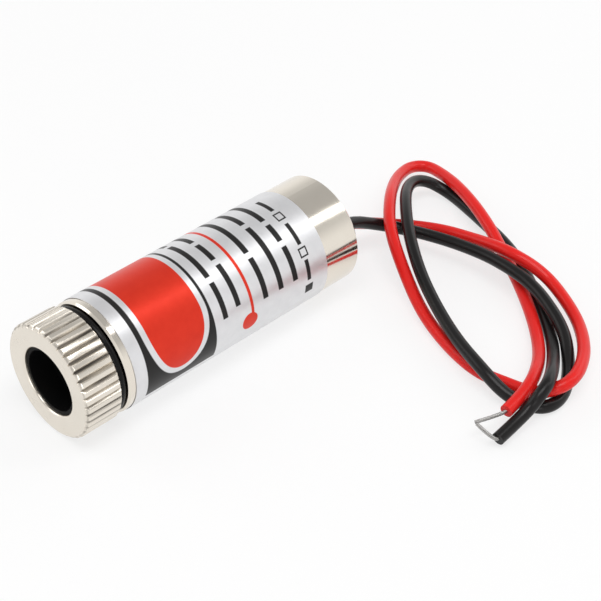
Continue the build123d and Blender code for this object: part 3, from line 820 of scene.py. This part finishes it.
def behind_rear(point):
    """A point given by its distance behind the barrel's rear face, in the part's frame."""
    return Vector((point[0] * MM, REAR + point[1] * MM, point[2] * MM))


def lead_route(start, way):
    """All control points of a lead: out of the potting, straight back, then over the table."""
    straight = Vector((start.x, REAR + LEAD_STRAIGHT, start.z))
    return [start, straight] + [behind_rear(point) for point in way]


print("places along the table:", len(RED_WAY), "for the red lead,", len(BLACK_WAY), "for the black one")


# %% Draw the leads
LEAD_STEPS = 8
LEAD_ROUNDNESS = 8


def add_spline(curve, points):
    """One open NURBS spline along these control points, which starts and ends on the outer ones."""
    spline = curve.splines.new("NURBS")
    spline.points.add(len(points) - 1)
    for target, point in zip(spline.points, points):
        target.co = (*point, 1)
    spline.order_u = 3
    spline.use_endpoint_u = True


def nurbs(name, points, radius, steps=LEAD_STEPS, roundness=LEAD_ROUNDNESS):
    """A curve with one spline, as a round tube if it has a radius."""
    curve = bpy.data.curves.new(name, "CURVE")
    curve.dimensions = "3D"
    curve.resolution_u = steps
    curve.bevel_depth = radius
    curve.bevel_resolution = roundness
    curve.use_fill_caps = True
    add_spline(curve, points)
    piece = bpy.data.objects.new(name, curve)
    bpy.context.scene.collection.objects.link(piece)
    return piece


def line_points(name, control):
    """Points along a NURBS line, read from the mesh that Blender makes of it."""
    guide = nurbs(name, control, 0.0)
    bpy.context.view_layer.update()
    evaluated = guide.evaluated_get(bpy.context.evaluated_depsgraph_get())
    mesh = bpy.data.meshes.new_from_object(evaluated)
    points = [vertex.co.copy() for vertex in mesh.vertices]
    bpy.data.meshes.remove(mesh)
    bpy.data.objects.remove(guide)
    return points


def draw_lead(name, node, start, way, material):
    """One insulated lead, in place of its solid."""
    piece = nurbs(name, lead_route(start, way), LEAD_RADIUS)
    piece.data.materials.append(material)
    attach(piece, "housing")
    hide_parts(node)
    return piece


red_lead = draw_lead("lead_red", "red_lead", RED_START, RED_WAY, RED_SKIN)
black_lead = draw_lead(
    "lead_black", "black_lead", BLACK_START, BLACK_WAY, BLACK_SKIN
)
for lead in (red_lead, black_lead):
    print(lead.name, "has", len(lead.data.splines[0].points), "control points")

# %% [markdown]
# ## Bare ends
# At each end the insulation is stripped and the strands are twisted and dipped in tin. A plain
# cylinder would look like solid wire. Seven thin strands that wind round the end's own line, one in
# the middle and six about it, show the twist when the camera comes close.

# %% Bare ends
TIP_ROOT = 0.1 * MM
TIP_STUB = 0.45 * MM
STRAND_RADIUS = 0.068 * MM
STRAND_COUNT = 6
STRAND_TURNS = 1.6
STRAND_STEPS = 2
STRAND_ROUNDNESS = 3


def tip_line(lead_name, route, tip_end):
    """The bare end's line: out of the insulation along its heading, then bent to where it lies."""
    end = route[-1]
    heading = (end - route[-2]).normalized()
    control = [end - heading * TIP_ROOT, end + heading * TIP_STUB, tip_end]
    return line_points(lead_name + "_tip_line", control)


def strand_points(line, first_angle):
    """A helix about a line, with a frame that is carried along without twisting."""
    total = len(line) - 1
    side = Vector((0, 0, 1))
    winding = []
    for k, centre in enumerate(line):
        ahead = line[min(k + 1, total)] - line[max(k - 1, 0)]
        ahead.normalize()
        side = (side - ahead * side.dot(ahead)).normalized()
        other = ahead.cross(side)
        angle = first_angle + 2 * math.pi * STRAND_TURNS * k / total
        winding.append(centre + 2 * STRAND_RADIUS * (side * math.cos(angle) + other * math.sin(angle)))
    return winding


def draw_tip(lead_name, node, start, way, tip_end):
    """A middle strand along the end's line and the others wound about it, in place of the solid."""
    line = tip_line(lead_name, lead_route(start, way), behind_rear(tip_end))
    piece = nurbs(lead_name + "_strands", line, STRAND_RADIUS, STRAND_STEPS, STRAND_ROUNDNESS)
    for strand in range(STRAND_COUNT):
        add_spline(piece.data, strand_points(line, 2 * math.pi * strand / STRAND_COUNT))
    piece.data.materials.append(TINNED)
    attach(piece, "housing")
    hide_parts(node)
    return piece


red_tip = draw_tip("red", "red_lead_tip", RED_START, RED_WAY, RED_TIP_END)
black_tip = draw_tip("black", "black_lead_tip", BLACK_START, BLACK_WAY, BLACK_TIP_END)
print("bare ends of", STRAND_COUNT + 1, "strands each")

# %% [markdown]
# ## What a lead is
# To a program that moves the part, a lead is a soft cord and not a bent bar. Here the leads are
# only drawn as curves, and the cell below prints a line about them.

# %% A word on the leads
print("the leads are NURBS curves with a round bevel")

# %% [markdown]
# ## Potting
# The rear end is filled with black resin after the leads are in. It sets with a dip in the middle and
# creeps up the wall and up each lead. The surface is a disc of rings whose height is a sum of those
# slopes and of a slow wave.

# %% Potting
POTTING_DIP = 0.25 * MM
CREEP = 0.22 * MM
CREEP_REACH = 0.45 * MM
WAVE = 0.05 * MM
WAVE_SIZE = 1.7 * MM
POTTING_RINGS = 40
POTTING_COLUMNS = 120


def potting_height(x, z):
    """The resin's Y at a place across the bore."""
    radius = math.hypot(x, z)
    dip = POTTING_DIP * (1 - (radius / PLUG_RADIUS) ** 2)
    rim = CREEP * math.exp(-(PLUG_RADIUS - radius) / CREEP_REACH)
    collars = 0.0
    for start in (RED_START, BLACK_START):
        gap = math.hypot(x - start.x, z + AXIS_HEIGHT - start.z) - LEAD_RADIUS
        collars += CREEP * math.exp(-max(gap, 0.0) / CREEP_REACH)
    wave = WAVE * noise.noise(Vector((x, 0.0, z)) / WAVE_SIZE)
    return plug_high.y - dip - CREEP + rim + collars + wave


def potting():
    """The resin's surface as rings, a wall down to the solid's inner face, and a flat bottom."""
    builder = bmesh.new()

    def surface_point(i, j):
        radius = PLUG_RADIUS * (i + 1) / POTTING_RINGS
        angle = 2 * math.pi * j / POTTING_COLUMNS
        x = radius * math.cos(angle)
        z = radius * math.sin(angle)
        return Vector((x, potting_height(x, z), AXIS_HEIGHT + z))

    grid = ring_grid(builder, POTTING_RINGS, POTTING_COLUMNS, surface_point)
    middle = builder.verts.new((0, potting_height(0, 0), AXIS_HEIGHT))
    bottom = [builder.verts.new((v.co.x, plug_low.y, v.co.z)) for v in grid[-1]]
    for j in range(POTTING_COLUMNS):
        k = (j + 1) % POTTING_COLUMNS
        builder.faces.new((middle, grid[0][j], grid[0][k]))
        builder.faces.new((grid[-1][j], bottom[j], bottom[k], grid[-1][k]))
    builder.faces.new(bottom)
    piece = new_piece("potting_plug", builder, POTTING, "housing")
    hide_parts("rear_plug")
    return piece


plug = potting()
print("potting:", len(plug.data.polygons), "faces")

# %% [markdown]
# ## Spring
# Behind the neck a coil spring takes up the thread's play. One end stays on the diode's holder and
# the other follows the head. Here the spring is one piece on no body, fixed where it is built.

# %% Spring
SPRING_WIRE = 0.225 * MM
SPRING_TURNS = 3
SPRING_COLUMNS = 12
SPRING_STEPS = 48


def coil_spring():
    """Round wire in a few turns, as a tube of rings with closed ends."""
    spring_radius = (spring_high.x - spring_low.x) / 2 - SPRING_WIRE
    first = spring_low.y + SPRING_WIRE
    rise = spring_high.y - spring_low.y - 2 * SPRING_WIRE
    rings = SPRING_TURNS * SPRING_STEPS + 1

    def point(i, j):
        turn = 2 * math.pi * i / SPRING_STEPS
        section = 2 * math.pi * j / SPRING_COLUMNS
        along = first + rise * i / (rings - 1) + SPRING_WIRE * math.sin(section)
        return on_axis(along, spring_radius + SPRING_WIRE * math.cos(section), turn)

    builder = bmesh.new()
    grid = ring_grid(builder, rings, SPRING_COLUMNS, point)
    builder.faces.new(grid[0])
    builder.faces.new(grid[-1])
    piece = new_piece("coil_spring", builder, SPRING_STEEL, None)
    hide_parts("focus_spring")
    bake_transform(piece)
    return piece


spring = coil_spring()
print("coil spring:", len(spring.data.polygons), "faces")

# %% [markdown]
# ## Table and light
# The module lies on a white table in a bright, soft studio. Big area lamps make the long white
# streaks on the plate and the leads. The table and the world show white to the camera and to
# reflections through the Light Path node, while the light that falls on the object stays plain. Only
# the ceiling is dimmer in reflections, so that the plate has darker tones to show.


# %% Table and world
def shows_background(start):
    """1 for the rays that should see the white studio: from the camera, off metal and through glass."""
    path = start.node("ShaderNodeLightPath", {}, {}, "Is Camera Ray")
    rays = path + path.out("Is Glossy Ray") + path.out("Is Transmission Ray")
    return start.math("MINIMUM", rays, 1.0)


WHITE = (1, 1, 1, 1)
TABLE_LIGHT = (0.93, 0.93, 0.93, 1)
TABLE_DARK = (0.90, 0.90, 0.90, 1)
TABLE_CLOUDS = 40 * MM
TABLE_SIZE = 6.0
TABLE_GLOW = 0.72
SHADOW_REACH = 0.12
SHADOW_FADE = 0.072
SKY_LIGHT = 0.45
CEILING_LIGHT = 0.52
# Heights in the sky go from 0 at the horizon to 1 overhead
CEILING_HEIGHT = 0.45
CEILING_FADE = 0.35


def table():
    """White paint that keeps the module's shadow near it and fades into plain white farther off."""
    material, start = new_material("table")
    clouds = speckle(start, TABLE_CLOUDS)
    tone = blend_colour(clouds, TABLE_LIGHT, TABLE_DARK)
    paint = start.node("ShaderNodeBsdfDiffuse", {}, {"Color": tone})
    glow = start.node("ShaderNodeEmission", {}, {"Color": WHITE, "Strength": 1.0})
    split = start.node("ShaderNodeSeparateXYZ", {}, {0: place(start)})
    away = start.math("SQRT", split.out("X") * split.out("X") + split.out("Y") * split.out("Y"))
    far = step(away, SHADOW_REACH, SHADOW_FADE)
    share = shows_background(start) * (TABLE_GLOW + (1 - TABLE_GLOW) * far)
    mixed = start.node("ShaderNodeMixShader", {}, {0: share, 1: paint, 2: glow})
    start.node("ShaderNodeOutputMaterial", {}, {"Surface": mixed})
    bpy.ops.mesh.primitive_plane_add(size=TABLE_SIZE)
    piece = bpy.context.object
    piece.name = "table"
    piece.data.materials.append(material)


def studio_world():
    """White to the camera, a dimmer ceiling in reflections, and a plain soft light on the module."""
    world = bpy.data.worlds.new("studio")
    bpy.context.scene.world = world
    world.use_nodes = True
    world.node_tree.nodes.clear()
    start = Value(world.node_tree)
    direction = start.node("ShaderNodeTexCoord", {}, {}, "Generated")
    height = start.node("ShaderNodeSeparateXYZ", {}, {0: direction}, "Z")
    ceiling = 1 - (1 - CEILING_LIGHT) * step(height, CEILING_HEIGHT, CEILING_FADE)
    path = start.node("ShaderNodeLightPath", {}, {}, "Is Camera Ray")
    mirrored = start.math("MINIMUM", path.out("Is Glossy Ray") + path.out("Is Transmission Ray"), 1.0)
    strength = SKY_LIGHT + (1 - SKY_LIGHT) * path + mirrored * (ceiling - SKY_LIGHT)
    sky = start.node("ShaderNodeBackground", {}, {"Color": WHITE, "Strength": strength})
    start.node("ShaderNodeOutputWorld", {}, {"Surface": sky})


table()
studio_world()
print("white table and studio")

# %% Lamps
# Name, place, width, height and power of each lamp; all of them face the module
LAMPS = [
    ("key", (0.10, -0.05, 0.42), 0.30, 0.18, 0.80),
    ("fill", (-0.34, -0.22, 0.26), 0.30, 0.30, 0.35),
    ("front", (0.34, -0.30, 0.16), 0.12, 0.30, 0.25),
    ("back", (0.06, 0.42, 0.24), 0.40, 0.16, 0.25),
    ("streak", (0.17, 0.25, 0.34), 0.07, 0.36, 0.22),
]
for lamp_name, spot, width, height, power in LAMPS:
    lamp = bpy.data.lights.new(lamp_name, "AREA")
    lamp.shape = "RECTANGLE"
    lamp.size = width
    lamp.size_y = height
    lamp.energy = power
    holder = bpy.data.objects.new(lamp_name, lamp)
    holder.location = spot
    holder.rotation_mode = "QUATERNION"
    holder.rotation_quaternion = (MIDDLE - holder.location).to_track_quat("-Z", "Y")
    bpy.context.scene.collection.objects.link(holder)
bpy.context.scene.view_settings.view_transform = "Standard"
print("lamps:", len(LAMPS))

# %% [markdown]
